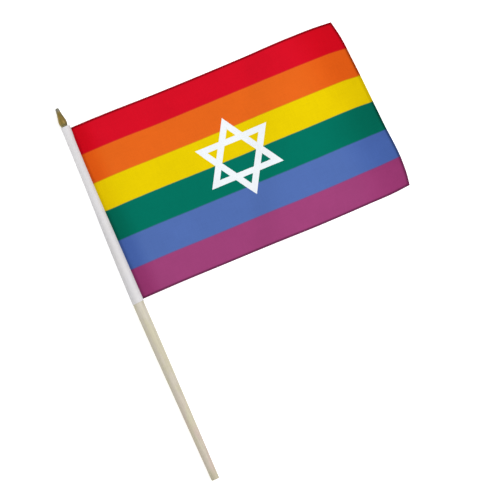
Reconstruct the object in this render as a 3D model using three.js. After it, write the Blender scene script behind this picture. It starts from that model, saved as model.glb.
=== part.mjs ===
// A pride flag on a wooden stick, lying face up on a flat surface.
// Millimetres, +Z up. The stick lies along Y with its gold tip at +Y, and the cloth reaches out to +X.
// The stripes and the star are printed, so they are colour alone and the cloth's faces stay plain.

import * as THREE from "three";

// Lengths along Y start at the lower end of the printed panel's hoist edge
const HOIST = 204.2; // length of the panel's edge beside the stick
const STICK_FOOT = -213.7;
const STICK_TOP = 207.7;
const SLEEVE_FOOT = -2.2;
const SLEEVE_TOP = 207.4;
const FINIAL_LENGTH = 21.7;

const CLOTH = 1; // thickness of the panel and of the sleeve's wall
const GAP = 0.3; // clearance between pieces that touch
const SEAM_ANGLE = THREE.MathUtils.degToRad(50); // how far below the stick's side the panel leaves the sleeve
const SEAM_FALL = 14; // distance from the sleeve over which the seam's own height fades out
const BOW = 3.5; // how far the stick's top leans over towards the cloth
const BOW_POWER = 1.4;
const FOOT_BEVEL = 0.6;
const FINIAL_BASE = STICK_TOP + GAP;

const SIDES = 24; // sides of the round pieces
const STICK_STEPS = 20;
const SLEEVE_STEPS = 14;
const PANEL_COLUMNS = 44;
const PANEL_ROWS = 18;
const HOIST_CROWDING = 0.45; // how much closer the panel's columns stand near the stick

// The turned stick is thickest just below the sleeve, where a hand holds it
const stickSections = [
  { at: STICK_FOOT, across: 9.1 },
  { at: -120, across: 11.0 },
  { at: -30, across: 12.6 },
  { at: 10, across: 12.4 },
  { at: 60, across: 11.5 },
  { at: 140, across: 9.0 },
  { at: STICK_TOP, across: 8.8 },
];

// The spear tip, from its base to its blunt point
const finialSections = [
  { at: 0, across: 7.4 },
  { at: 1.6, across: 7.9 },
  { at: 5.2, across: 8.9 },
  { at: 10, across: 7.0 },
  { at: 15, across: 5.2 },
  { at: 18.6, across: 4.6 },
  { at: 20.6, across: 4.2 },
  { at: FINIAL_LENGTH, across: 2.6 },
];

// The panel's long edges, from the sleeve (0) to the fly (1)
const longEdges = [
  { along: 0, top: HOIST, bottom: 0 },
  { along: 0.14, top: 203.2, bottom: -0.1 },
  { along: 0.32, top: 201.3, bottom: -1.3 },
  { along: 0.49, top: 200.0, bottom: -2.3 },
  { along: 0.66, top: 199.2, bottom: -3.9 },
  { along: 0.84, top: 198.7, bottom: -4.3 },
  { along: 0.94, top: 197.5, bottom: -4.2 },
  { along: 1, top: 195.6, bottom: -3.0 },
];

// The fly edge's distance from the stick's axis, from its lower corner (0) to its upper one (1)
const flyEdge = [
  { up: 0, out: 324.9 },
  { up: 0.05, out: 326.7 },
  { up: 0.14, out: 328.2 },
  { up: 0.38, out: 326.0 },
  { up: 0.77, out: 322.7 },
  { up: 0.91, out: 320.8 },
  { up: 1, out: 317.5 },
];

// Beside the sleeve the panel rises at once to a soft swell
const swell = { crest: 34, fall: 78, lowEnd: 3.6, highEnd: 4.2 };

// Further out a low wave crosses it aslant, nearer the fly at the top. Between them it lies flat.
const wave = { crest: 214, lean: 76, rise: 44, fall: 64, lowEnd: 4.4, highEnd: 3.4 };

// How far the fly edge curls up off the surface, from its lower corner (0) to its upper one (1)
const CURL_START = 0.87;
const flyCurl = [
  { up: 0, lift: 7.0 },
  { up: 0.2, lift: 5.4 },
  { up: 0.45, lift: 6.0 },
  { up: 0.75, lift: 4.6 },
  { up: 1, lift: 3.4 },
];

function smoothColumn(rows, key, value) {
  const keys = rows.map((row) => row[key]);
  const values = rows.map((row) => row[value]);
  const curve = new THREE.CubicInterpolant(keys, values, 1);
  return (at) => curve.evaluate(at)[0];
}

const stickWidth = smoothColumn(stickSections, "at", "across");
const topEdge = smoothColumn(longEdges, "along", "top");
const bottomEdge = smoothColumn(longEdges, "along", "bottom");
const flyOut = smoothColumn(flyEdge, "up", "out");
const curlLift = smoothColumn(flyCurl, "up", "lift");

function evenSteps(from, to, steps) {
  return Array.from({ length: steps + 1 }, (_, i) => THREE.MathUtils.lerp(from, to, i / steps));
}

function stickRadius(y) {
  return stickWidth(y) / 2;
}

function sleeveRadius(y) {
  return stickRadius(y) + GAP + CLOTH;
}

// The stick bows a little towards the cloth above the panel's lower edge
function axisOut(y) {
  const share = THREE.MathUtils.clamp(y / HOIST, 0, 1);
  return BOW * share ** BOW_POWER;
}

// The sleeve lies on the surface, and so does the stick's foot
function axisHeight(y) {
  const bare = THREE.MathUtils.clamp((SLEEVE_FOOT - y) / (SLEEVE_FOOT - STICK_FOOT), 0, 1);
  const height = Math.min(y, STICK_TOP);
  return stickRadius(height) + (GAP + CLOTH) * (1 - bare);
}

function turned(profile) {
  const geometry = new THREE.LatheGeometry(profile, SIDES);
  const position = geometry.attributes.position;
  for (let i = 0; i < position.count; i += 1) {
    const y = position.getY(i);
    position.setX(i, position.getX(i) + axisOut(y));
    position.setZ(i, position.getZ(i) + axisHeight(y));
  }
  return geometry;
}

function stickGeometry() {
  const sides = evenSteps(STICK_FOOT + FOOT_BEVEL, STICK_TOP, STICK_STEPS);
  const profile = [
    new THREE.Vector2(0, STICK_FOOT),
    new THREE.Vector2(stickRadius(STICK_FOOT) - FOOT_BEVEL, STICK_FOOT),
    ...sides.map((y) => new THREE.Vector2(stickRadius(y), y)),
    new THREE.Vector2(0, STICK_TOP),
  ];
  return turned(profile);
}

function finialGeometry() {
  const profile = [
    new THREE.Vector2(0, FINIAL_BASE),
    ...finialSections.map((ring) => new THREE.Vector2(ring.across / 2, FINIAL_BASE + ring.at)),
    new THREE.Vector2(0, FINIAL_BASE + FINIAL_LENGTH),
  ];
  return turned(profile);
}

// A strip of cloth wrapped once round the stick
function sleeveGeometry() {
  const rings = evenSteps(SLEEVE_FOOT, SLEEVE_TOP, SLEEVE_STEPS);
  const outside = rings.map((y) => new THREE.Vector2(sleeveRadius(y), y));
  const inside = rings.map((y) => new THREE.Vector2(sleeveRadius(y) - CLOTH, y)).reverse();
  return turned([...outside, ...inside, outside[0].clone()]);
}

// A soft hump's height, from its crest (0) to where it ends (1)
function hump(away) {
  return 0.5 + 0.5 * Math.cos(Math.PI * Math.min(away, 1));
}

function swellHeight(x, seamX, up) {
  const height = THREE.MathUtils.lerp(swell.lowEnd, swell.highEnd, up);
  if (x < swell.crest) {
    return height * Math.sin((Math.PI / 2) * (x - seamX) / (swell.crest - seamX));
  }
  return height * hump((x - swell.crest) / swell.fall);
}

function waveHeight(x, up) {
  const past = x - wave.crest - wave.lean * (up - 0.5);
  const height = THREE.MathUtils.lerp(wave.lowEnd, wave.highEnd, up);
  return height * hump(past < 0 ? -past / wave.rise : past / wave.fall);
}

function curlHeight(along, up) {
  const share = THREE.MathUtils.clamp((along - CURL_START) / (1 - CURL_START), 0, 1);
  return curlLift(up) * share ** 2;
}

// The panel's underside at a share of the way along the fly and up the hoist
function panelPoint(along, up) {
  const hoistY = HOIST * up;
  const reach = sleeveRadius(hoistY) + GAP;
  const seamX = axisOut(hoistY) + reach * Math.cos(SEAM_ANGLE);
  const seamZ = axisHeight(hoistY) - reach * Math.sin(SEAM_ANGLE) - CLOTH;
  const x = THREE.MathUtils.lerp(seamX, flyOut(up), along);
  const y = THREE.MathUtils.lerp(bottomEdge(along), topEdge(along), up);
  const fall = 1 - THREE.MathUtils.smoothstep(x - seamX, 0, SEAM_FALL);
  const folds = swellHeight(x, seamX, up) + waveHeight(x, up) + curlHeight(along, up);
  return new THREE.Vector3(x, y, seamZ * fall + folds);
}

function panelGeometry() {
  const geometry = new THREE.BoxGeometry(1, 1, 1, PANEL_COLUMNS, PANEL_ROWS, 1);
  const position = geometry.attributes.position;
  for (let i = 0; i < position.count; i += 1) {
    const column = position.getX(i) + 0.5;
    const along = column * (1 - HOIST_CROWDING * (1 - column));
    const point = panelPoint(along, position.getY(i) + 0.5);
    if (position.getZ(i) > 0) {
      point.z += CLOTH;
    }
    position.setXYZ(i, point.x, point.y, point.z);
  }
  return geometry;
}

function piece(name, geometry, look) {
  const mesh = new THREE.Mesh(geometry, new THREE.MeshStandardMaterial(look));
  mesh.name = name;
  return mesh;
}

const flag = new THREE.Group();
flag.add(
  piece("stick", stickGeometry(), { color: 0xd6cdb8, roughness: 0.6, metalness: 0 }),
  piece("finial", finialGeometry(), { color: 0x9a8038, roughness: 0.35, metalness: 0.7 }),
  piece("pole_sleeve", sleeveGeometry(), { color: 0xe4e4e6, roughness: 0.85, metalness: 0 }),
  piece("flag_panel", panelGeometry(), { color: 0xd50d24, roughness: 0.8, metalness: 0 }),
);

// The origin is on the surface, under the middle of the whole flag
const extent = new THREE.Box3().setFromObject(flag, true);
const middle = extent.getCenter(new THREE.Vector3());
flag.position.set(-middle.x, -middle.y, -extent.min.z);

export default flag;
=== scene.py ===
# A pride flag on a wooden stick, lying face up on a pale floor.
# Sizes are in millimetres. Y runs up the stick from the lower end of the panel's hoist edge,
# X runs from the stick's axis towards the fly, and Z is up from the floor.

import math

import bpy
import numpy as np
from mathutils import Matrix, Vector, noise


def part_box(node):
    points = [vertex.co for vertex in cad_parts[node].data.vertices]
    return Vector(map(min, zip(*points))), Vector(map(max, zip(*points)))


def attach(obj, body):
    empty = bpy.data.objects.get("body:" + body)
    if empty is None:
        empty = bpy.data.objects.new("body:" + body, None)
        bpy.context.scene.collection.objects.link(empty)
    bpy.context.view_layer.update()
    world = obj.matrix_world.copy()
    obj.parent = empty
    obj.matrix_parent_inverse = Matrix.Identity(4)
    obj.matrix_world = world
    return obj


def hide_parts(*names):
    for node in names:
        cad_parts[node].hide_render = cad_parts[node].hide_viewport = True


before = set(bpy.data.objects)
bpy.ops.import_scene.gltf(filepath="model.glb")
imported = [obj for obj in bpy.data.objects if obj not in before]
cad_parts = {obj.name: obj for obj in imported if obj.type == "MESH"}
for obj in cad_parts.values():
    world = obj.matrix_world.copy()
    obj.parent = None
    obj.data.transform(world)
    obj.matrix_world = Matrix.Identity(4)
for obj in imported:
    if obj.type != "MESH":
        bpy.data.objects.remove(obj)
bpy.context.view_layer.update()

MM = 0.001

# The flag's own sizes, as in the part's source
HOIST = 204.2
STICK_FOOT = -213.7
STICK_TOP = 207.7
SLEEVE_FOOT = -2.2
SLEEVE_TOP = 207.4
FINIAL_LENGTH = 21.7
BOW = 3.5
BOW_POWER = 1.4
SOLID_CLOTH = 1.0  # the cloth's thickness in the solids
SOLID_GAP = 0.3
SEAM_ANGLE = math.radians(50)
SEAM_FALL = 14
FINIAL_BASE = STICK_TOP + SOLID_GAP
STAND_OFF = SOLID_CLOTH + SOLID_GAP  # how far the stick lies off the floor inside the sleeve

STICK_SECTIONS = {
    "at": (STICK_FOOT, -120, -30, 10, 60, 140, STICK_TOP),
    "across": (9.1, 11.0, 12.6, 12.4, 11.5, 9.0, 8.8),
}
LONG_EDGES = {
    "along": (0, 0.14, 0.32, 0.49, 0.66, 0.84, 0.94, 1),
    "top": (HOIST, 203.2, 201.3, 200.0, 199.2, 198.7, 197.5, 195.6),
    "bottom": (0, -0.1, -1.3, -2.3, -3.9, -4.3, -4.2, -3.0),
}
FLY_EDGE = {
    "up": (0, 0.05, 0.14, 0.38, 0.77, 0.91, 1),
    "out": (324.9, 326.7, 328.2, 326.0, 322.7, 320.8, 317.5),
}
SWELL = {"crest": 34, "fall": 78, "low_end": 3.6, "high_end": 4.2}
WAVE = {"crest": 214, "lean": 76, "rise": 44, "fall": 64, "low_end": 4.4, "high_end": 3.4}
CURL_START = 0.87
FLY_CURL = {
    "up": (0, 0.2, 0.45, 0.75, 1),
    "lift": (7.0, 5.4, 6.0, 4.6, 3.4),
}

# What the round pieces have finer than their solids: the tip's groove and the foot's rounded rim
FINIAL_SECTIONS = {
    "at": (0, 0.35, 1.2, 1.5, 1.8, 4.2, 6.0, 8.4, 11.0, 13.6, 16.4, 18.6, 20.2, 21.2, 21.6, 21.7),
    "across": (7.2, 7.8, 7.9, 7.4, 8.0, 8.9, 8.95, 8.1, 7.0, 5.9, 5.0, 4.6, 4.3, 3.6, 2.4, 1.2),
}
GROOVE = 1.5  # how far up the tip it runs
FOOT_RIM = {
    "up": (0, 0.15, 0.35, 0.6),
    "inward": (0.55, 0.28, 0.08, 0),
}
ABOVE_RIM = 6  # where the stick's even rings start

# The panel's real cloth
FLY = 316.0  # its length from the sleeve to the fly, laid flat
CLOTH = 0.2
HEM = 2.6
HEM_STEP = 0.8  # how far the cloth takes to step down from a hem
FOLD_RADIUS = 0.17
LAYER = 2 * FOLD_RADIUS  # from one layer of a hem to the next
FLOOR_GAP = 0.02  # between the floor and the cloth that lies on it
DROOP = 1.3  # how far the cloth's long threads bend down at the fly
DROOP_START = 0.93  # share of its length where that begins
SEAM_HOLD = 0.05  # share of its length over which the seam keeps the cloth smooth
NESTING = 0.24  # how much narrower the fly's hem is where it lies inside the long ones
NESTING_REACH = 4  # and how far from the corner that goes

# Soft creases, each from one point of the panel to another, as shares of its length and height
CREASES = {
    "along_from": (0.03, 0.04, 0.30, 0.55, 0.80, 0.98, 0.97),
    "up_from": (0.97, 0.04, 0.02, 0.98, 0.03, 0.10, 0.62),
    "along_to": (0.24, 0.22, 0.42, 0.68, 0.93, 0.84, 0.82),
    "up_to": (0.70, 0.30, 0.26, 0.72, 0.22, 0.24, 0.50),
    "width": (7.0, 8.0, 9.0, 10.0, 8.0, 5.0, 7.0),
    "height": (0.35, 0.4, 0.3, 0.3, 0.35, 0.35, 0.3),
}
UNEVENNESS = {"size": (31, 13), "height": (0.5, 0.2), "seed": (4.2, 9.1)}

# Small waves beside a hem, where its stitches draw the cloth in
PUCKERS = {
    "length": (1.9, 1.13, 3.1),
    "strength": (1.0, 0.8, 0.9),
    "shift": (0, 0, 0.7),
    "shift_by_seed": (1, 2.1, 0),
}
PUCKER_HEIGHT = 0.05
PUCKER_REACH = 8  # how far in from the edge they go
LONG_HEM_SEED = 0.4
FLY_HEM_SEED = 1.3

# The sleeve's real cloth
HEADING = 0.26
SLACK = 0.04  # between the stick and the cloth round it
LAYER_GAP = 0.03  # between two layers of cloth
SLEEVE_SAG = STAND_OFF - HEADING - SLACK - LAYER_GAP  # it hangs down to the floor under the stick
LAP_END = math.radians(5)  # how far past the fly's side the wrapped cloth ends
LAP_FADE = math.radians(28)  # over which the outer layer comes down to the stick again
FLANGE = 0.05  # how far its sewn edge shows beyond its round side
FLANGE_FLARE = 0.9  # and how much further at the very top
TURN_START = 0.7  # how far from the panel's seam the sewn edge starts to turn up
TURN_MIDDLE = 0.15  # how far from the seam the turn bulges
TURN_ANGLE = math.radians(12)
ASKEW = 0.7  # how uneven its cut ends are

# Stitches
THREAD = 0.3
THREAD_SPREAD = 1.2  # how much wider than thick a pulled stitch is
STITCH_LENGTH = 2.2
STITCH_PITCH = 3.1
HEM_STITCH_INSET = 1.9
SEAM_STITCH_INSET = 1.3
HEM_STITCH_RISE = 0.02  # how far a stitch's middle stands over the cloth
SEAM_STITCH_RISE = 0.05
LONG_HEM_ROW = {"start": 12, "stop": FLY - 5}
FLY_HEM_ROW = {"start": 6, "stop": HOIST - 5}
SEAM_ROW = {"start": 4, "stop": HOIST - 3}

# The print. Places on the panel are shares of its length and height, from its lower hoist corner
STRIPES = {
    "ink": ("purple", "blue", "green", "yellow", "orange", "red"),
    "top": (0.168, 0.340, 0.514, 0.6757, 0.843, 1.0),
    "red": (158, 81, 0, 232, 229, 213),
    "green": (65, 110, 113, 204, 102, 13),
    "blue": (119, 176, 94, 0, 27, 36),
}
INK_OVERLAP = 0.4  # how far each of two inks runs over the other
OVERLAP_TONE = 0.84  # how bright they are together, against their mean

# The star reaches this far from its middle to a point, along and up, and its bars are a share of that wide
STAR = {"along": 0.5014, "up": 0.513, "reach_along": 48.6, "reach_up": 46.5, "bar": 0.1435}

PANEL_WEAVE = 0.46  # from one thread to the next but one
HEADING_WEAVE = 0.6

# The light makes matt cloth and wood brighter than their colour, so colours as seen are toned down by this
LIT = 0.87
THREAD_LIT = 0.95  # a round thread catches less of it

# The stage: one large soft light on the fly's side, in a bright white room. Its lengths are in metres
ROOM = 0.72  # brightness of the room's walls
FLOOR_GLOW = 0.45  # the floor is lit from below, which takes the shadows away
FLOOR_SIDE = 8
KEY_POWER = 41.0
KEY_SIZE = 1.8
KEY_DISTANCE = 2.4
KEY_AZIMUTH = 0
KEY_FROM_OVERHEAD = math.radians(34)

# The camera looks straight down, turned so that the stick leans as in the picture
LEAN = math.radians(23.65)
PICTURE_MIDDLE = (-24.6, -6.0)
PICTURE_SIDE = 550.0
LENS = 250.0
SENSOR = 36.0

# How finely the pieces are divided
STICK_SIDES = 64
STICK_RINGS = 72
FINIAL_SIDES = 48
FINIAL_RINGS = 36
SLEEVE_ROWS = 150
SLEEVE_COLUMNS = 110
FLANGE_COLUMNS = 9
PANEL_ROWS = 118
PANEL_COLUMNS = 190
CRISP_TURNED = math.radians(38)  # sharper edges than this aren't shaded smooth
CRISP_CLOTH = math.radians(50)


def rows(table):
    """A table of named columns as a list of its rows."""
    return [dict(zip(table, row)) for row in zip(*table.values())]


def smooth_column(table, key, value):
    """A smooth curve through one column of a table, as a function of another."""
    keys = np.array(table[key], float)
    values = np.array(table[value], float)
    slopes = np.gradient(values, keys)

    def curve(at):
        at = np.clip(at, keys[0], keys[-1])
        i = np.clip(np.searchsorted(keys, at, side="right") - 1, 0, len(keys) - 2)
        span = keys[i + 1] - keys[i]
        t = (at - keys[i]) / span
        start = (1 + 2 * t) * (1 - t) ** 2 * values[i] + t * (1 - t) ** 2 * span * slopes[i]
        end = t ** 2 * (3 - 2 * t) * values[i + 1] + t ** 2 * (t - 1) * span * slopes[i + 1]
        return start + end

    return curve


def smoothstep(value, low, high):
    t = np.clip((value - low) / (high - low), 0, 1)
    return t * t * (3 - 2 * t)


def lerp(start, end, share):
    return start + (end - start) * share


stick_width = smooth_column(STICK_SECTIONS, "at", "across")
finial_width = smooth_column(FINIAL_SECTIONS, "at", "across")
top_edge = smooth_column(LONG_EDGES, "along", "top")
bottom_edge = smooth_column(LONG_EDGES, "along", "bottom")
fly_out = smooth_column(FLY_EDGE, "up", "out")
curl_lift = smooth_column(FLY_CURL, "up", "lift")

# The frame says where the flag's own X and Y start
finial_low, finial_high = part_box("finial")
ORIGIN_X = (finial_low.x + finial_high.x) / 2 / MM - BOW
ORIGIN_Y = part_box("stick")[0].y / MM - STICK_FOOT


def in_frame(x, y, z):
    """Points in the flag's own millimetres, as metres in the frame."""
    x, y, z = np.broadcast_arrays(x, y, z)
    return np.stack([x + ORIGIN_X, y + ORIGIN_Y, z], axis=-1) * MM


def stick_radius(y):
    return stick_width(y) / 2


def axis_out(y):
    """X of the stick's axis, which bows towards the cloth above the panel's lower edge."""
    return BOW * np.clip(np.asarray(y) / HOIST, 0, 1) ** BOW_POWER


def axis_height(y):
    """Z of the stick's axis. The sleeve lies on the floor, and so does the stick's foot."""
    bare = np.clip((SLEEVE_FOOT - y) / (SLEEVE_FOOT - STICK_FOOT), 0, 1)
    return stick_radius(np.minimum(y, STICK_TOP)) + STAND_OFF * (1 - bare)


# The panel's shape. "up" is a share of the way up the hoist


def seam_solid(up):
    """Where the solid panel starts beside the sleeve: X, and the underside's Z."""
    y = HOIST * up
    reach = stick_radius(y) + STAND_OFF + SOLID_GAP
    x = axis_out(y) + reach * math.cos(SEAM_ANGLE)
    z = axis_height(y) - reach * math.sin(SEAM_ANGLE) - SOLID_CLOTH
    return x, z


def hump(away):
    """A soft hump's height, from its crest (0) to where it ends (1)."""
    return 0.5 + 0.5 * np.cos(math.pi * np.clip(away, 0, 1))


def panel_folds(x, up):
    """Height of the panel's underside over the floor: the seam, the swell, the wave and the curl."""
    seam_x, seam_z = seam_solid(up)
    past_seam = np.maximum(x - seam_x, 0)
    seam = seam_z * (1 - smoothstep(past_seam, 0, SEAM_FALL))
    rise = np.sin(math.pi / 2 * np.clip(past_seam / (SWELL["crest"] - seam_x), 0, 1))
    fall = hump((x - SWELL["crest"]) / SWELL["fall"])
    swell = lerp(SWELL["low_end"], SWELL["high_end"], up) * np.where(x < SWELL["crest"], rise, fall)
    past = x - WAVE["crest"] - WAVE["lean"] * (up - 0.5)
    away = np.where(past < 0, -past / WAVE["rise"], past / WAVE["fall"])
    wave = lerp(WAVE["low_end"], WAVE["high_end"], up) * hump(away)
    along = (x - seam_x) / (fly_out(up) - seam_x)
    curl = curl_lift(up) * np.clip((along - CURL_START) / (1 - CURL_START), 0, 1) ** 2
    return seam + swell + wave + curl


def crease_relief(along, up):
    """Height of the soft creases, which fade out at their ends."""
    relief = 0
    for crease in rows(CREASES):
        start = np.array([crease["along_from"] * FLY, crease["up_from"] * HOIST])
        run = np.array([crease["along_to"] * FLY, crease["up_to"] * HOIST]) - start
        length = math.hypot(*run)
        x = along * FLY - start[0]
        y = up * HOIST - start[1]
        share = (x * run[0] + y * run[1]) / length ** 2
        off = (x * run[1] - y * run[0]) / length
        ends = smoothstep(share, -0.1, 0.25) * (1 - smoothstep(share, 0.5, 1.1))
        relief = relief + crease["height"] * ends * np.exp(-((off / crease["width"]) ** 2))
    return relief


def cloudy(x, y, size, seed):
    """Smooth unevenness between 0 and 1 over spots of the given size."""
    x, y = np.broadcast_arrays(x, y)
    spots = zip((x / size).ravel(), (y / size).ravel())
    values = [0.5 + 0.5 * noise.noise((a, b, seed)) for a, b in spots]
    return np.array(values).reshape(x.shape)


def pucker(run, inset, seed):
    """Height of the small waves beside a hem, at a distance along it and in from its edge."""
    height = 0
    for wave in rows(PUCKERS):
        turn = run / wave["length"] + wave["shift"] + wave["shift_by_seed"] * seed
        height = height + wave["strength"] * (1 + np.sin(turn))
    return PUCKER_HEIGHT * height * np.exp(-((inset / PUCKER_REACH) ** 2))


def visible_hoist(up):
    """X of the panel's edge as seen from above, beside the sleeve's round side."""
    y = HOIST * up
    return axis_out(y) + stick_radius(y) + SLACK + HEADING + FLANGE


def panel_face(x, up):
    """Height of the middle of the panel's upper layer, and the fly hem's share of its full height there."""
    visible_x = visible_hoist(up)
    along = (x - visible_x) / (fly_out(up) - visible_x)
    inset_fly = fly_out(up) - x
    inset_long = np.minimum(up, 1 - up) * HOIST
    fly_hem = 1 - smoothstep(inset_fly, HEM, HEM + HEM_STEP)
    long_hem = 1 - smoothstep(inset_long, HEM, HEM + HEM_STEP)
    layers = fly_hem + long_hem + fly_hem * long_hem
    relief = crease_relief(along, up)
    for spot in rows(UNEVENNESS):
        relief = relief + spot["height"] * cloudy(x, up * HOIST, spot["size"], spot["seed"])
    puckers = pucker(x, inset_long, LONG_HEM_SEED) + pucker(up * HOIST, inset_fly, FLY_HEM_SEED)
    free_of_seam = smoothstep(along, 0, SEAM_HOLD)
    base = panel_folds(x, up) + FLOOR_GAP + CLOTH / 2
    return base + LAYER * layers + (relief + puckers) * free_of_seam, fly_hem


def sleeve_sag(angle):
    """How far the sleeve hangs away from the stick, which is most right under it."""
    return SLEEVE_SAG * np.maximum(0, -np.sin(angle)) ** 1.5


def seam_place(up):
    """Angle and X at which the panel meets the sleeve's inner layer."""
    y = HOIST * up
    drop = seam_solid(up)[1] + FLOOR_GAP + CLOTH / 2 - axis_height(y)
    angle = -np.ones_like(y) * SEAM_ANGLE
    # The sag depends on the angle, so the two are brought together step by step
    for _ in range(12):
        reach = stick_radius(y) + SLACK + HEADING + sleeve_sag(angle) + CLOTH / 2
        angle = np.arcsin(np.clip(drop / reach, -1, 0))
    return angle, axis_out(y) + reach * np.cos(angle)


def hem_stations():
    """Stations from a hem's face to its raw edge: cloth run, inset from the fold, share turned under."""
    # Millimetres of cloth from the middle of the fold, negative once it is turned under
    face = np.array([5.2, 4.5, 3.9, 3.4, 3.0, 2.6, 2.0, 1.4, 0.7])
    fold = FOLD_RADIUS * np.radians([90, 45, 0, -45, -90])
    under = -np.array([0.7, 1.3, 2.0, HEM])
    run = np.concatenate([face, fold, under])
    turn = np.clip(run / FOLD_RADIUS, -math.pi / 2, math.pi / 2)
    inset = FOLD_RADIUS * (1 - np.cos(turn)) + np.abs(run) - FOLD_RADIUS * np.abs(turn)
    return run, inset, 0.5 * (1 - np.sin(turn))


# Modelling helpers


def start_piece():
    """Leaves nothing selected, so that the next operator acts on its own piece alone."""
    if bpy.context.object and bpy.context.object.mode != "OBJECT":
        bpy.ops.object.mode_set(mode="OBJECT")
    bpy.ops.object.select_all(action="DESELECT")


def turned_piece(name, sides, at, radius):
    """A round piece, modelled ring by ring: a disc is extruded along the axis and resized at each section."""
    centres = [Vector(point) for point in in_frame(axis_out(at), at, axis_height(at))]
    start_piece()
    bpy.ops.mesh.primitive_circle_add(
        vertices=sides, radius=radius[0] * MM, fill_type="NGON",
        location=centres[0], rotation=(math.pi / 2, 0, 0),
    )
    piece = bpy.context.object
    piece.name = name
    bpy.ops.object.mode_set(mode="EDIT")
    bpy.ops.mesh.select_all(action="SELECT")
    for i in range(1, len(at)):
        bpy.ops.mesh.extrude_region_move(TRANSFORM_OT_translate={"value": centres[i] - centres[i - 1]})
        growth = radius[i] / radius[i - 1]
        bpy.ops.transform.resize(value=(growth, growth, growth), center_override=centres[i])
    bpy.ops.mesh.select_all(action="SELECT")
    bpy.ops.mesh.normals_make_consistent(inside=False)
    bpy.ops.object.mode_set(mode="OBJECT")
    bpy.ops.object.transform_apply(location=True, rotation=True, scale=True)
    bpy.ops.object.shade_smooth_by_angle(angle=CRISP_TURNED)
    return piece


def vertex_of_corner(mesh):
    """The index of the vertex at each corner of each face."""
    corner = np.empty(len(mesh.loops), int)
    mesh.loops.foreach_get("vertex_index", corner)
    return corner


def cloth_piece(name, points, cloth, thickness):
    """A sheet: a flat grid whose corners go to the given points, then given its thickness.

    The upper face keeps the piece's first material, and the lower one gets its second.
    """
    count_rows, count_columns = points.shape[:2]
    start_piece()
    bpy.ops.mesh.primitive_grid_add(x_subdivisions=count_columns - 1, y_subdivisions=count_rows - 1, size=1)
    piece = bpy.context.object
    piece.name = name
    mesh = piece.data
    flat = np.empty(len(mesh.vertices) * 3)
    mesh.vertices.foreach_get("co", flat)
    flat = flat.reshape(-1, 3) + 0.5
    column = np.rint(flat[:, 0] * (count_columns - 1)).astype(int)
    row = np.rint(flat[:, 1] * (count_rows - 1)).astype(int)
    mesh.vertices.foreach_set("co", points[row, column].ravel())
    layer = mesh.uv_layers.active or mesh.uv_layers.new()
    layer.name = "cloth"
    layer.uv.foreach_set("vector", (cloth[row, column] * MM)[vertex_of_corner(mesh)].ravel())
    mesh.update()
    solid = piece.modifiers.new("thickness", "SOLIDIFY")
    solid.thickness = thickness * MM
    solid.offset = 0
    solid.material_offset = 1
    bpy.ops.object.modifier_apply(modifier=solid.name)
    bpy.ops.object.shade_smooth_by_angle(angle=CRISP_CLOTH)
    return piece


def stitch_shape():
    """One stitch along X, as vertices and faces: a small ball drawn out to a thread's thickness."""
    start_piece()
    bpy.ops.mesh.primitive_uv_sphere_add(segments=6, ring_count=6, radius=0.5, rotation=(0, math.pi / 2, 0))
    bpy.ops.object.transform_apply(rotation=True)
    ball = bpy.context.object
    size = np.array([STITCH_LENGTH, THREAD * THREAD_SPREAD, THREAD]) * MM
    shape = np.array([vertex.co for vertex in ball.data.vertices]) * size
    faces = [tuple(face.vertices) for face in ball.data.polygons]
    bpy.data.objects.remove(ball)
    return shape, faces


def stitch_row(name, points, directions, cloth):
    """Small stitches lying on the cloth, one at each point, joined into one mesh."""
    shape, faces = stitch_shape()
    count = len(shape)
    sides = np.stack([-directions[:, 1], directions[:, 0], np.zeros(len(directions))], axis=-1)
    rise = np.array([0, 0, 1])
    parts = [
        point + shape[:, :1] * run + shape[:, 1:2] * side + shape[:, 2:] * rise
        for point, run, side in zip(points, directions, sides)
    ]
    mesh = bpy.data.meshes.new(name)
    all_faces = [tuple(i + count * k for i in face) for k in range(len(parts)) for face in faces]
    mesh.from_pydata(np.concatenate(parts).tolist(), [], all_faces)
    layer = mesh.uv_layers.new(name="cloth")
    layer.uv.foreach_set("vector", (cloth * MM)[vertex_of_corner(mesh) // count].ravel())
    mesh.update()
    piece = bpy.data.objects.new(name, mesh)
    bpy.context.scene.collection.objects.link(piece)
    for face in mesh.polygons:
        face.use_smooth = True
    return piece


def stitch_places(row):
    return np.arange(row["start"], row["stop"], STITCH_PITCH)


# The pieces


def make_stick():
    rim = STICK_FOOT + np.array(FOOT_RIM["up"])
    length = np.linspace(STICK_FOOT + ABOVE_RIM, STICK_TOP, STICK_RINGS)
    at = np.concatenate([rim, length])
    radius = np.concatenate([stick_radius(rim) - np.array(FOOT_RIM["inward"]), stick_radius(length)])
    return turned_piece("stick_turned", STICK_SIDES, at, radius)


def make_finial():
    between = np.linspace(2, FINIAL_LENGTH - 0.5, FINIAL_RINGS)
    at = np.unique(np.concatenate([FINIAL_SECTIONS["at"], between]))
    return turned_piece("finial_tip", FINIAL_SIDES, FINIAL_BASE + at, finial_width(at) / 2)


def bend(start, middle, end):
    """Places on a curve from start to end that is drawn towards the middle."""
    t = np.array([0.25, 0.5, 0.75])[None, :]
    return (1 - t) ** 2 * start + 2 * t * (1 - t) * middle + t ** 2 * end


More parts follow.
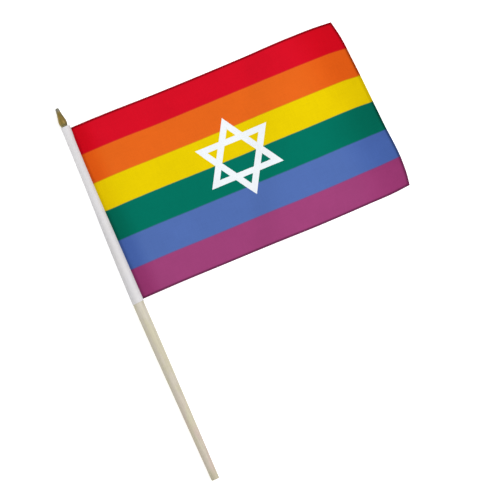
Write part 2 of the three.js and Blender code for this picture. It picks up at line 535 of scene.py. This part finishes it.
def sleeve_points():
    """The sleeve's cloth, from its sewn edge on the panel, round the stick to its end inside the lap."""
    y = np.linspace(SLEEVE_FOOT, SLEEVE_TOP, SLEEVE_ROWS)[:, None]
    up = np.clip(y / HOIST, 0, 1)
    seam_angle, seam_x = seam_place(up)
    # The sewn edge lies on the panel
    edge_x = visible_hoist(up) + FLANGE_FLARE * smoothstep(up, 0.9, 1)
    flange_x = lerp(edge_x, seam_x + TURN_START, np.linspace(0, 1, FLANGE_COLUMNS)[None, :])
    flange_z = panel_face(flange_x, up)[0] + (CLOTH + HEADING) / 2 + LAYER_GAP
    # The rest goes round the stick, and where it is double the outer layer stands off the inner one
    once_round = np.linspace(0, 1, SLEEVE_COLUMNS)[None, :]
    angle = lerp(seam_angle + TURN_ANGLE, 2 * math.pi + LAP_END, once_round)
    doubled = (HEADING + 2 * LAYER_GAP) * (1 - smoothstep(angle, LAP_END, LAP_END + LAP_FADE))
    reach = stick_radius(y) + SLACK + HEADING / 2 + sleeve_sag(angle) + doubled
    round_x = axis_out(y) + reach * np.cos(angle)
    round_z = axis_height(y) + reach * np.sin(angle)
    # A tight turn joins the two
    turn_x = bend(flange_x[:, -1:], seam_x + TURN_MIDDLE, round_x[:, :1])
    turn_z = bend(flange_z[:, -1:], flange_z[:, -1:], round_z[:, :1])
    x = np.concatenate([flange_x, turn_x, round_x], axis=1)
    z = np.concatenate([flange_z, turn_z, round_z], axis=1)
    # The cut ends run a little askew
    cut = ASKEW * np.sin(np.linspace(0.4, 5.2, x.shape[1]))[None, :]
    near_foot = 1 - smoothstep(y, SLEEVE_FOOT, SLEEVE_FOOT + 12)
    near_top = smoothstep(y, SLEEVE_TOP - 10, SLEEVE_TOP)
    return in_frame(x, y + cut * (near_foot + 0.5 * near_top), z)


def make_sleeve():
    """The sleeve, and the width of the strip of cloth that it is made from."""
    points = sleeve_points()
    steps = np.linalg.norm(np.diff(points, axis=1), axis=2)
    width = np.concatenate([np.zeros((len(points), 1)), np.cumsum(steps, axis=1)], axis=1) / MM
    length = (points[:, :, 1] - points[:, :, 1].min()) / MM
    piece = cloth_piece("sleeve_cloth", points, np.stack([width, length], axis=-1), HEADING)
    return piece, float(width[:, -1].mean())


def panel_points():
    """The printed panel with its hems turned under, and the run of the cloth at each point."""
    run, inset, turned = hem_stations()
    # Up the hoist: the lower hem, the cloth between the hems, the upper hem
    inside = np.linspace(run[0], HOIST - run[0], PANEL_ROWS)[1:-1]
    up_place = np.concatenate([inset[::-1], inside, HOIST - inset])[:, None] / HOIST
    cloth_up = np.concatenate([run[::-1], inside, HOIST - run])[:, None]
    turned_long = np.concatenate([turned[::-1], np.zeros(len(inside)), turned])[:, None]
    # Towards the fly: the part under the sleeve, the part beside it, the middle, the fly's hem
    hoist_x = visible_hoist(up_place)
    length = fly_out(up_place) - hoist_x
    under_sleeve = np.array([0, 0.3, 0.6, 0.85])[None, :]
    beside = np.array([0, 0.4, 1, 2, 3.2]) / FLY
    middle = np.linspace(4.6 / FLY, 1 - run[0] / FLY, PANEL_COLUMNS)[:-1]
    hidden = lerp(seam_place(up_place)[1], hoist_x, under_sleeve)
    shown = hoist_x + length * np.concatenate([beside, middle])[None, :]
    hemmed = fly_out(up_place) - inset[None, :]
    x = np.concatenate([hidden, shown, hemmed], axis=1)
    not_hemmed = np.zeros(hidden.shape[1] + shown.shape[1])
    turned_fly = np.concatenate([not_hemmed, turned])[None, :]
    # What is turned under lies lower, and the fly's hem is narrower inside the long ones at the corners
    face, fly_hem = panel_face(x, up_place)
    depth = turned_fly + turned_long * (1 + 2 * fly_hem) - 2 * turned_fly * turned_long
    from_long_edge = np.minimum(up_place, 1 - up_place) * HOIST
    nested = NESTING * turned_fly * (1 - smoothstep(from_long_edge, 0, NESTING_REACH)) / HOIST
    up = up_place + nested * np.sign(0.5 - up_place)
    along = np.clip((x - hoist_x) / length, 0, 1)
    droop = DROOP * np.sin(math.pi * np.clip(up, 0, 1) ** 1.5) * smoothstep(along, DROOP_START, 1)
    y = lerp(bottom_edge(along), top_edge(along), up) - droop
    past_fold = np.concatenate([not_hemmed, inset - run])[None, :]
    cloth_along = (x - hoist_x) / length * FLY + past_fold
    cloth = np.stack(np.broadcast_arrays(cloth_along, cloth_up), axis=-1)
    return in_frame(x, y, face - LAYER * depth), cloth


def make_panel():
    points, cloth = panel_points()
    return cloth_piece("printed_panel", points, cloth, CLOTH)


def make_hem_stitches():
    """Stitches along both long hems and the fly's."""
    spots = []
    for up in (HEM_STITCH_INSET / HOIST, 1 - HEM_STITCH_INSET / HOIST):
        spots += [(along, up, 1, 0) for along in stitch_places(LONG_HEM_ROW) / FLY]
    fly_row = 1 - HEM_STITCH_INSET / FLY
    spots += [(fly_row, up, 0, 1) for up in stitch_places(FLY_HEM_ROW) / HOIST]
    along, up, run_x, run_y = np.array(spots).T
    x = lerp(visible_hoist(up), fly_out(up), along)
    y = lerp(bottom_edge(along), top_edge(along), up)
    z = panel_face(x, up)[0] + CLOTH / 2 + HEM_STITCH_RISE
    directions = np.stack([run_x, run_y, np.zeros_like(run_x)], axis=-1)
    cloth = np.stack([along * FLY, up * HOIST], axis=-1)
    return stitch_row("hem_stitches", in_frame(x, y, z), directions, cloth)


def make_seam_stitches():
    """White stitches that hold the sleeve's edge down on the panel."""
    y = stitch_places(SEAM_ROW)
    up = y / HOIST
    x = visible_hoist(up) - SEAM_STITCH_INSET
    z = panel_face(x, up)[0] + CLOTH / 2 + HEADING + SEAM_STITCH_RISE
    directions = np.tile([0.0, 1.0, 0.0], (len(y), 1))
    return stitch_row("seam_stitches", in_frame(x, y, z), directions, np.stack([x, y], axis=-1))


# Finishes


def srgb(red, green, blue, tone=1.0):
    """A colour given as it looks on screen, 0 to 255, for a shader socket."""
    parts = [channel / 255 for channel in (red, green, blue)]
    linear = [part / 12.92 if part <= 0.04045 else ((part + 0.055) / 1.055) ** 2.4 for part in parts]
    return tuple(tone * part for part in linear) + (1.0,)


class Finish:
    """A node material being put together. Each call adds a node and returns its output."""

    def __init__(self, name, specular=0.5, metallic=0.0, sheen=0.0):
        self.material = bpy.data.materials.new(name)
        self.material.use_nodes = True
        self.nodes = self.material.node_tree.nodes
        self.shader = self.nodes["Principled BSDF"]
        self.shader.inputs["Specular IOR Level"].default_value = specular
        self.shader.inputs["Metallic"].default_value = metallic
        self.shader.inputs["Sheen Weight"].default_value = sheen

    def feed(self, socket, value):
        if isinstance(value, bpy.types.NodeSocket):
            self.material.node_tree.links.new(value, socket)
        else:
            socket.default_value = value

    def add(self, kind, inputs, output=0, **settings):
        node = self.nodes.new("ShaderNode" + kind)
        for key, value in settings.items():
            setattr(node, key, value)
        for key, value in inputs.items():
            self.feed(node.inputs[key], value)
        return node.outputs[output]

    def math(self, operation, *values):
        return self.add("Math", dict(enumerate(values)), operation=operation)

    def add_up(self, first, *more):
        for value in more:
            first = self.math("ADD", first, value)
        return first

    def times(self, first, second):
        return self.math("MULTIPLY", first, second)

    def distance(self, value, place):
        return self.math("ABSOLUTE", self.math("SUBTRACT", value, place))

    def stretch(self, vector, x, y, z=1.0):
        return self.add("Mapping", {"Vector": vector, "Scale": (x, y, z)})

    def cloth_place(self):
        """Millimetres along and up the piece's own flat cloth."""
        return self.stretch(self.add("UVMap", {}, uv_map="cloth"), 1 / MM, 1 / MM)

    def object_place(self):
        """Millimetres in the frame."""
        return self.stretch(self.add("TexCoord", {}, output=3), 1 / MM, 1 / MM, 1 / MM)

    def parts(self, vector):
        x = self.add("SeparateXYZ", {0: vector})
        return x, x.node.outputs[1], x.node.outputs[2]

    def noise(self, vector, scale, detail=2.0):
        return self.add("TexNoise", {"Vector": vector, "Scale": scale, "Detail": detail})

    def swing(self, value, amount):
        """A 0 to 1 value as a swing of the given amount about nought."""
        return self.math("MULTIPLY_ADD", value, 2 * amount, -amount)

    def fade(self, value, low, high, start, end):
        """Goes smoothly from start to end as the value goes from low to high."""
        inputs = {0: value, 1: low, 2: high, 3: start, 4: end}
        return self.add("MapRange", inputs, interpolation_type="SMOOTHSTEP")

    def blend(self, share, first, second):
        return self.add("Mix", {0: share, 6: first, 7: second}, output=2, data_type="RGBA")

    def shade(self, colour, tone):
        return self.add("VectorMath", {0: colour, "Scale": tone}, operation="SCALE")

    def bump(self, height, depth, normal=None):
        inputs = {"Height": height, "Distance": depth * MM, "Strength": 1.0}
        if normal:
            inputs["Normal"] = normal
        return self.add("Bump", inputs)

    def finish(self, colour, roughness, normal):
        self.feed(self.shader.inputs["Base Color"], colour)
        self.feed(self.shader.inputs["Roughness"], roughness)
        self.feed(self.shader.inputs["Normal"], normal)
        return self.material


def plain_weave(finish, x, y, pitch):
    """The height of a plain weave's threads, going over and under one another."""
    turn = 2 * math.pi / pitch
    warp = finish.math("SINE", finish.times(x, turn))
    weft = finish.math("SINE", finish.times(y, turn))
    return finish.times(warp, weft)


def slubs(finish, place):
    """Uneven threads in both directions, each 0 to 1."""
    warp = finish.noise(finish.stretch(place, 2.4, 0.05), 1.0)
    weft = finish.noise(finish.stretch(place, 0.05, 2.4), 1.0)
    return warp, weft


def stripe_middle(ink):
    """The middle of a stripe, as a share of the panel's height."""
    stripe = STRIPES["ink"].index(ink)
    return (STRIPES["top"][stripe - 1] + STRIPES["top"][stripe]) / 2


def stripe_colours(finish, height):
    """The six printed stripes, with a thin darker line where two inks meet."""
    ramp = finish.add("ValToRGB", {0: height})
    points = ramp.node.color_ramp.elements
    overlap = INK_OVERLAP / HOIST
    stripes = rows(STRIPES)
    colours = [srgb(stripe["red"], stripe["green"], stripe["blue"], LIT) for stripe in stripes]
    points[0].color = colours[0]
    points[1].color = colours[-1]
    for stripe, below, above in zip(stripes, colours, colours[1:]):
        both = tuple(OVERLAP_TONE * (a + b) / 2 for a, b in zip(below[:3], above[:3])) + (1.0,)
        for step, colour in ((-overlap, below), (0, both), (overlap, above)):
            points.new(stripe["top"] + step).color = colour
    return ramp


def star_mask(finish, x, y):
    """1 on the bars of the six-pointed star, which are two triangle outlines across each other."""
    out = finish.distance(x, STAR["along"] * FLY)
    rise = finish.math("SUBTRACT", y, STAR["up"] * HOIST)
    slant = finish.times(out, math.sin(math.radians(60)) / STAR["reach_along"])
    middle = 0.5 - STAR["bar"] / 2
    bars = []
    for way in (1, -1):
        edge = finish.times(rise, way / STAR["reach_up"])
        side = finish.math("MULTIPLY_ADD", edge, 0.5, slant)
        reach = finish.math("MAXIMUM", finish.times(edge, -1), side)
        bars.append(finish.math("COMPARE", reach, middle, STAR["bar"] / 2))
    return finish.math("MAXIMUM", *bars)


def print_colour(finish, place, with_star, pale):
    """The stripes and the star, with ragged edges that wander a little."""
    x, y, _ = finish.parts(place)
    height = finish.times(y, 1 / HOIST)
    ragged = finish.swing(finish.noise(place, 0.7), 0.25)
    wander = finish.swing(finish.noise(place, 0.014), 0.7)
    wobble = finish.add_up(ragged, wander)
    # Near the fly the upper stripes run a little low
    low = finish.times(finish.times(height, height), finish.fade(x, 200, 285, 0.0, 1.7))
    soft_x = finish.add_up(x, wobble)
    soft_y = finish.add_up(y, wobble, low)
    colour = stripe_colours(finish, finish.math("DIVIDE", soft_y, HOIST))
    if with_star:
        colour = finish.blend(star_mask(finish, soft_x, soft_y), colour, srgb(241, 246, 250, LIT))
    if pale:
        colour = finish.blend(pale, colour, srgb(225, 222, 222, LIT))
    # Painted shade: the print is darker towards the fly, for the curl's shade, and towards the hoist, for the
    # shade beside the sleeve
    ink = finish.add_up(finish.fade(x, FLY - 66, FLY - 16, 1.0, 1.1), finish.fade(x, 8, 28, 0.12, 0.0))
    return finish.add("Gamma", {0: colour, 1: ink})


def edge_tones(finish, x, y, painted_seam_shade):
    """How much lighter or darker the print is drawn near the panel's edges, as a list of tones to add: the
    hems' double cloth, and painted shade and light.
    """
    height = finish.times(y, 1 / HOIST)
    from_long_edge = finish.math("MINIMUM", finish.math("ABSOLUTE", y), finish.distance(y, HOIST))
    from_edge = finish.math("MINIMUM", from_long_edge, finish.distance(x, FLY))
    # The cloth is double in the hems, and a little darker there. Painted shade darkens their folds and the
    # cloth beside the seam, save in the yellow
    double = finish.fade(from_edge, HEM - 0.3, HEM + 0.2, -0.04, 0.0)
    fold = finish.fade(from_edge, 1.3, 3.0, -0.52, 0.0)
    seam = finish.fade(x, 1.2, 4.5, painted_seam_shade, 0.0)
    not_yellow = finish.fade(finish.distance(height, stripe_middle("yellow")), 0.06, 0.1, 0.35, 1.0)
    # Painted shade of the curl darkens the fly, all but its low corner, and painted light makes the swell
    # lighter beside the sleeve
    curl = finish.times(
        finish.fade(x, FLY - 60, FLY - 12, 0.0, 1.0),
        finish.fade(height, 0.1, 0.2, 0.05, -0.04),
    )
    swell = finish.fade(x, 8, 28, 0.06, 0.0)
    return [double, finish.times(fold, not_yellow), finish.times(seam, not_yellow), curl, swell]


# The last argument is the painted shade beside the sleeve's seam
def printed_cloth(name, with_star=True, pale=0.0, painted_seam_shade=-0.22):
    """Thin polyester with the stripes and the star printed on it."""
    finish = Finish(name, specular=0.02, sheen=0.02)
    place = finish.cloth_place()
    x, y, _ = finish.parts(place)
    clouds = finish.swing(finish.noise(place, 0.03, 3.0), 0.06)
    warp, weft = slubs(finish, place)
    threads = [finish.swing(warp, 0.07), finish.swing(weft, 0.07)]
    tone = finish.add_up(1.0, *edge_tones(finish, x, y, painted_seam_shade), clouds, *threads)
    colour = finish.shade(print_colour(finish, place, with_star, pale), tone)
    normal = finish.bump(finish.noise(place, 0.16, 3.0), 0.25)
    normal = finish.bump(plain_weave(finish, x, y, PANEL_WEAVE), 0.035, normal)
    normal = finish.bump(finish.add_up(warp, weft), 0.03, normal)
    return finish.finish(colour, finish.fade(warp, 0.3, 0.7, 0.7, 0.82), normal)


def sleeve_finish():
    """White heading cloth, a little heavier and rougher than the panel's."""
    finish = Finish("white_heading", specular=0.15, sheen=0.03)
    place = finish.cloth_place()
    x, y, _ = finish.parts(place)
    warp, weft = slubs(finish, place)
    clouds = finish.noise(place, 0.06, 3.0)
    colour = finish.blend(clouds, srgb(222, 221, 225, LIT), srgb(226, 223, 222, LIT))
    # Painted light makes it a little lighter at the top, most on its far side, and painted shade makes it
    # darker towards the seam
    painted_far_side_light = finish.times(finish.fade(x, 15, 21, 0.0, 0.12), finish.fade(y, 90, 190, 0.0, 1.0))
    painted_top_light = finish.add_up(finish.fade(y, 60, 130, 0.0, 0.06), painted_far_side_light)
    painted_crook_shade = finish.fade(x, 11.0, 20.0, -0.16, 0.0)
    tone = finish.add_up(1.0, finish.swing(warp, 0.06), finish.swing(weft, 0.06), painted_top_light, painted_crook_shade)
    normal = finish.bump(finish.noise(place, 0.25), 0.12)
    normal = finish.bump(plain_weave(finish, x, y, HEADING_WEAVE), 0.06, normal)
    normal = finish.bump(finish.add_up(warp, weft), 0.04, normal)
    return finish.finish(finish.shade(colour, tone), 0.85, normal)


def white_thread():
    finish = Finish("white_thread", specular=0.3)
    fibres = finish.noise(finish.stretch(finish.object_place(), 6, 1.2, 6), 1.0)
    colour = finish.blend(fibres, srgb(214, 213, 214, THREAD_LIT), srgb(236, 235, 235, THREAD_LIT))
    return finish.finish(colour, 0.6, finish.bump(fibres, 0.04))


def wood_rings(finish, x, z, drift):
    """1 in the dark late wood of the growth rings, which are round a heart that lies outside the stick."""
    heart_x = finish.add_up(x, 15.0, finish.swing(drift, 3.0))
    heart_z = finish.add_up(z, 11.0)
    squares = [finish.times(value, value) for value in (heart_x, heart_z)]
    across = finish.math("SQRT", finish.add_up(*squares))
    ring = finish.math("FRACT", finish.times(across, 0.62))
    return finish.fade(ring, 0.55, 0.95, 0.0, 1.0)


def wood_colour(finish, place, y):
    """Pale wood whose colour drifts along the stick."""
    share_down = finish.fade(y, STICK_FOOT, 10, 1.0, 0.0)
    colour = finish.blend(share_down, srgb(212, 206, 190, LIT), srgb(204, 194, 177, LIT))
    # It is sallow in places above, rosy towards the foot, and worn at the foot itself
    sallow_spots = finish.noise(finish.stretch(place, 0.12, 0.045, 0.12), 1.0)
    sallow = finish.fade(sallow_spots, 0.42, 0.6, 0.0, 0.75)
    colour = finish.blend(sallow, colour, srgb(206, 200, 172, LIT))
    rosy_spots = finish.noise(finish.stretch(place, 0.14, 0.03, 0.14), 1.0)
    rosy = finish.fade(rosy_spots, 0.38, 0.6, 0.0, 0.75)
    near_foot = finish.fade(y, STICK_FOOT + 30, STICK_FOOT + 110, 1.0, 0.1)
    colour = finish.blend(finish.times(rosy, near_foot), colour, srgb(204, 184, 172, LIT))
    worn = finish.fade(y, STICK_FOOT + 3, STICK_FOOT + 16, 0.6, 0.0)
    return finish.blend(worn, colour, srgb(186, 184, 152, LIT))


def wood_finish():
    """Pale sanded hardwood, with lengthwise grain, growth rings, short pores and slow drifts of colour."""
    finish = Finish("pale_wood", specular=0.2)
    shift = (-ORIGIN_X, -ORIGIN_Y, 0)
    place = finish.add("VectorMath", {0: finish.object_place(), 1: shift}, operation="ADD")
    x, y, z = finish.parts(place)
    drift = finish.noise(finish.stretch(place, 0.11, 0.014, 0.11), 1.0, 3.0)
    grain = finish.noise(finish.stretch(place, 2.6, 0.06, 2.6), 1.0, 4.0)
    pore_spots = finish.noise(finish.stretch(place, 4.5, 0.22, 4.5), 1.0, 1.0)
    pores = finish.fade(pore_spots, 0.62, 0.7, 0.0, 1.0)
    late_wood = finish.times(wood_rings(finish, x, z, drift), -0.06)
    # Painted shade: the stick is darker on its side towards the fly
    painted_fly_side_shade = finish.fade(x, 1.0, 5.0, -0.02, -0.18)
    tone = finish.add_up(1.0, finish.swing(grain, 0.1), late_wood, finish.times(pores, -0.14), painted_fly_side_shade)
    normal = finish.bump(grain, 0.06)
    normal = finish.bump(pores, -0.04, normal)
    colour = finish.shade(wood_colour(finish, place, y), tone)
    return finish.finish(colour, finish.fade(grain, 0.3, 0.7, 0.55, 0.7), normal)


def gold_finish():
    """Thin gold coating on moulded plastic, dulled in patches and darker in the groove, with a painted
    reflection lighter on the side away from the flag and darker towards it.
    """
    finish = Finish("dull_gold", specular=0.4, metallic=0.4)
    place = finish.object_place()
    x, y, _ = finish.parts(place)
    patches = finish.noise(place, 0.25)
    fine = finish.noise(place, 3.0, 3.0)
    colour = finish.blend(finish.fade(patches, 0.35, 0.65, 0.0, 1.0), srgb(132, 108, 42), srgb(114, 101, 48))
    # It is grey at the tip and pale at the base
    base = ORIGIN_Y + FINIAL_BASE
    colour = finish.blend(finish.fade(y, base + 15, base + 20, 0.0, 0.85), colour, srgb(122, 124, 114))
    colour = finish.blend(finish.fade(y, base, base + 3.5, 0.55, 0.0), colour, srgb(150, 146, 108))
    # Darker in and beside the groove
    groove_darkening = finish.fade(finish.distance(y, base + GROOVE), 0.1, 0.7, -0.25, 0.0)
    middle = ORIGIN_X + BOW
    # Painted reflection: lighter on the side away from the flag, darker on the side towards it
    painted_side_reflection = finish.fade(x, middle - 3.5, middle + 3.0, 0.34, -0.34)
    tone = finish.add_up(1.0, finish.swing(fine, 0.12), groove_darkening, painted_side_reflection)
    normal = finish.bump(fine, 0.03)
    normal = finish.bump(patches, 0.04, normal)
    return finish.finish(finish.shade(colour, tone), finish.fade(patches, 0.3, 0.7, 0.42, 0.55), normal)


def floor_finish():
    finish = Finish("pale_floor", specular=0.1)
    mottle = finish.noise(finish.add("TexCoord", {}, output=3), 14.0, 3.0)
    colour = finish.blend(mottle, srgb(247, 247, 247), srgb(250, 250, 250))
    finish.shader.inputs["Emission Color"].default_value = (1, 1, 1, 1)
    finish.shader.inputs["Emission Strength"].default_value = FLOOR_GLOW
    return finish.finish(colour, 0.9, finish.bump(mottle, 0.05))


# The stage


def make_floor():
    start_piece()
    bpy.ops.mesh.primitive_plane_add(size=FLOOR_SIDE, location=(0, 0, 0))
    floor = bpy.context.object
    floor.name = "floor"
    floor.data.materials.append(floor_finish())
    return floor


def make_light():
    """A large soft light to the right of the camera, in a bright white room."""
    world = bpy.data.worlds.new("studio")
    bpy.context.scene.world = world
    world.use_nodes = True
    room = world.node_tree.nodes["Background"]
    room.inputs["Color"].default_value = (1, 1, 1, 1)
    room.inputs["Strength"].default_value = ROOM
    lamp = bpy.data.lights.new("key", "AREA")
    lamp.shape = "SQUARE"
    lamp.size = KEY_SIZE
    lamp.energy = KEY_POWER
    key = bpy.data.objects.new("key", lamp)
    bpy.context.scene.collection.objects.link(key)
    sideways = math.sin(KEY_FROM_OVERHEAD)
    toward = Vector((
        sideways * math.cos(KEY_AZIMUTH),
        sideways * math.sin(KEY_AZIMUTH),
        math.cos(KEY_FROM_OVERHEAD),
    ))
    key.location = toward * KEY_DISTANCE
    key.rotation_euler = toward.to_track_quat("Z", "Y").to_euler()


def make_camera():
    camera = bpy.data.objects.new("camera", bpy.data.cameras.new("camera"))
    bpy.context.scene.collection.objects.link(camera)
    camera.data.lens = LENS
    camera.data.sensor_width = SENSOR
    height = PICTURE_SIDE * LENS / SENSOR
    camera.location = Vector((*PICTURE_MIDDLE, height)) * MM
    camera.rotation_euler = (0, 0, -LEAN)
    bpy.context.scene.camera = camera


def settle(piece, *materials):
    """Gives a finished piece its materials and its place on the part's one body."""
    piece.data.materials.clear()
    for material in materials:
        piece.data.materials.append(material)
    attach(piece, "root")


make_camera()
make_light()
bpy.context.scene.view_settings.view_transform = "Standard"
floor = make_floor()

stick = make_stick()
settle(stick, wood_finish())
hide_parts("stick")

finial = make_finial()
settle(finial, gold_finish())
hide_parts("finial")

sleeve, sleeve_width = make_sleeve()
heading = sleeve_finish()
settle(sleeve, heading, heading)
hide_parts("pole_sleeve")

# The print shows through to the panel's back, a little paler, and the back has no painted shade beside the
# seam
panel = make_panel()
settle(panel, printed_cloth("printed_face"), printed_cloth("printed_back", pale=0.2, painted_seam_shade=0.0))
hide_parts("flag_panel")

hem_stitches = make_hem_stitches()
settle(hem_stitches, printed_cloth("hem_thread", with_star=False))

seam_stitches = make_seam_stitches()
settle(seam_stitches, white_thread())
